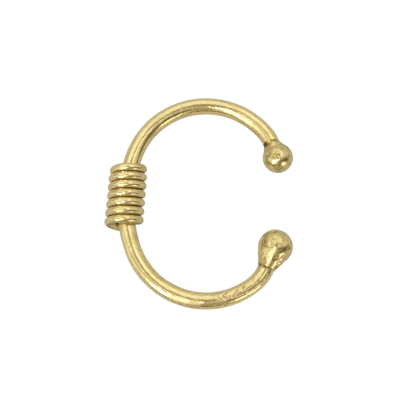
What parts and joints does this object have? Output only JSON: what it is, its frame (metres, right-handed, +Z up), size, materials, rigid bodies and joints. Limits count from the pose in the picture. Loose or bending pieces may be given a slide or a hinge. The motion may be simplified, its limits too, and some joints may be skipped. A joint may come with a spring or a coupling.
{
  "type": "navel ring",
  "caption": "Clip-on navel ring: an open loop of round wire with a ball on each end facing across a mouth, and a coil of thinner wire wound round its back.",
  "frame": {"origin": "on the surface that the ring lies on, under the middle of its box", "axes": "+Z up, square to the ring lying on its side; +X towards the mouth between the two balls, -X towards the coil; +Y towards the upper, smaller ball"},
  "size_m": [0.018, 0.0206, 0.0036],
  "materials": {
    "gold_wire": "gold-plated brass, drawn wire, polished, with fine scratches and a few dents",
    "gold_coil": "gold-plated brass, polished thin wire, darker between the turns",
    "gold_ball": "gold-plated brass, polished and slightly uneven"
  },
  "bodies": {
    "root": {"ring_wire": "gold_wire", "wire_coil": "gold_coil", "upper_ball": "gold_ball", "lower_ball": "gold_ball"}
  },
  "joints": []
}
